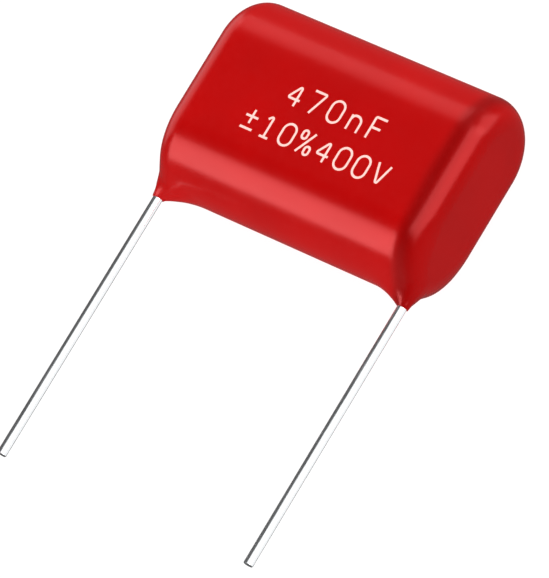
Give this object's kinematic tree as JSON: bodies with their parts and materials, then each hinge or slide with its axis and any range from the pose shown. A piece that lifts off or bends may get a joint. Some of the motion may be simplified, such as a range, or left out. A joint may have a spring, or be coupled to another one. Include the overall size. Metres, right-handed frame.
{
  "type": "dipped film capacitor",
  "caption": "Flat oval film capacitor dipped in glossy red epoxy, with straight tinned wire leads leaving skirts of epoxy at its ends.",
  "frame": {"origin": "middle of the flat back, which the part lies on", "axes": "+X along the body, -Y the way the leads point, +Z out of the front face, upwards"},
  "size_m": [0.0162, 0.026, 0.0059],
  "materials": {
    "epoxy": "glossy dipped epoxy",
    "metallised_film": "film with a thin metal layer",
    "plain_film": "clear plain film",
    "sprayed_metal": "matt sprayed zinc",
    "solder": "satin solder",
    "tinned_wire": "bright tinned wire"
  },
  "bodies": {
    "root": {"epoxy_coating": "epoxy", "film_winding": "metallised_film", "cover_wrap": "plain_film", "end_spray_left": "sprayed_metal", "end_spray_right": "sprayed_metal", "solder_left": "solder", "solder_right": "solder", "lead_left": "tinned_wire", "lead_right": "tinned_wire"}
  },
  "joints": []
}
